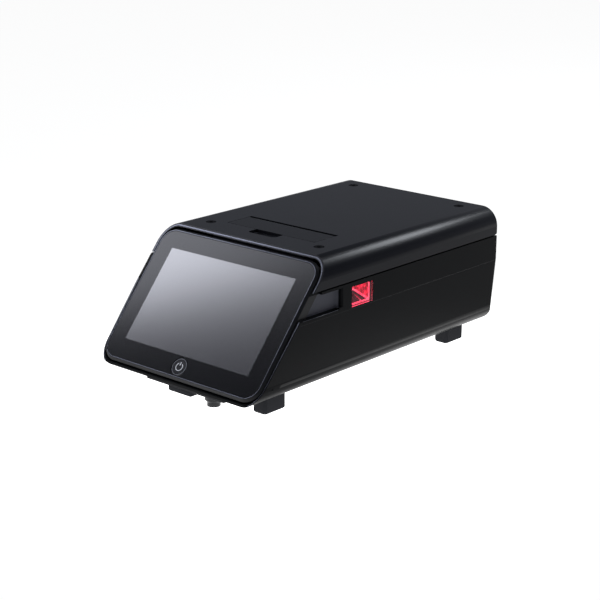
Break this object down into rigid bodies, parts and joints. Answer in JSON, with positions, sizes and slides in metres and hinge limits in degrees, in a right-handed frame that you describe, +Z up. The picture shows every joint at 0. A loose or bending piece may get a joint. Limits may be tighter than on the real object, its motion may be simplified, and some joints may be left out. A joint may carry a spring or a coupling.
{
  "type": "rapid test reader",
  "caption": "Bench reader with a tilted display, a flush door over a test-cup well in its top, a red code scanner window in its side and block feet.",
  "frame": {"origin": "on the bench under the middle of the footprint", "axes": "+X to the reader's right side as seen from the display, +Y from the display to the rear wall, +Z up"},
  "size_m": [0.146, 0.249, 0.0931],
  "materials": {
    "case_paint": "satin black paint",
    "frame_metal": "satin dark paint with a bare bright bevel",
    "front_glass": "gloss",
    "panel_dark": "dark display film",
    "sheet_steel": "plain sheet",
    "screw_steel": "dark plated",
    "board_green": "solder mask",
    "button_dark": "satin",
    "moulding_dark": "fine grain",
    "moulding_grey": "fine grain",
    "window_red": "clear red",
    "mirror_strip": "polished",
    "magnet_nickel": "plated",
    "block_aluminium": "machined",
    "block_brass": "turned",
    "port_steel": "stamped",
    "cable_film": "polyimide film",
    "foot_rubber": "matt"
  },
  "bodies": {
    "housing": {"top_cover": "case_paint", "lower_housing": "case_paint", "cover_screws": "screw_steel", "display_frame": "frame_metal", "cover_glass": "front_glass", "lcd_panel": "panel_dark", "display_back": "sheet_steel", "display_board": "board_green", "display_screws": "screw_steel", "button_switch": "moulding_dark", "button_board": "board_green", "scanner_window": "window_red", "scan_mirror": "mirror_strip", "scan_engine": "moulding_dark", "scan_light_board": "board_green", "door_magnet": "magnet_nickel", "door_bezel": "moulding_dark", "door_sensor": "moulding_dark", "cartridge_well": "moulding_grey", "heater_block": "block_aluminium", "optics_block": "block_aluminium", "optics_lens": "front_glass", "excitation_lamp": "block_brass", "read_detector": "screw_steel", "optics_board": "board_green", "chassis_deck": "sheet_steel", "board_standoffs": "block_brass", "main_board": "board_green", "board_screws": "screw_steel", "heat_sink": "block_aluminium", "power_board": "board_green", "display_cable": "cable_film", "rear_port_plate": "moulding_dark", "dc_inlet": "moulding_dark", "usb_ports": "port_steel", "network_port": "port_steel", "foot_screws": "screw_steel", "front_bracket": "sheet_steel", "service_plug": "foot_rubber", "front_thumbscrew": "moulding_dark", "foot_front_left": "foot_rubber", "foot_front_right": "foot_rubber", "foot_rear_left": "foot_rubber", "foot_rear_right": "foot_rubber"},
    "door": {"cartridge_door": "case_paint", "door_hinge_pins": "screw_steel", "door_striker": "screw_steel"},
    "button": {"power_button": "button_dark", "switch_plunger": "moulding_dark"}
  },
  "joints": [
    {"name": "door_hinge", "type": "hinge", "parent": "housing", "child": "door", "pos_m": [0, -0.0137, 0.0901], "axis": [-1, 0, 0], "range_deg": [0, 95]},
    {"name": "power_button_press", "type": "slide", "parent": "housing", "child": "button", "axis": [0, 0.766, -0.6428], "range_m": [0, 0.0008], "stiffness_N_per_m": 600}
  ]
}
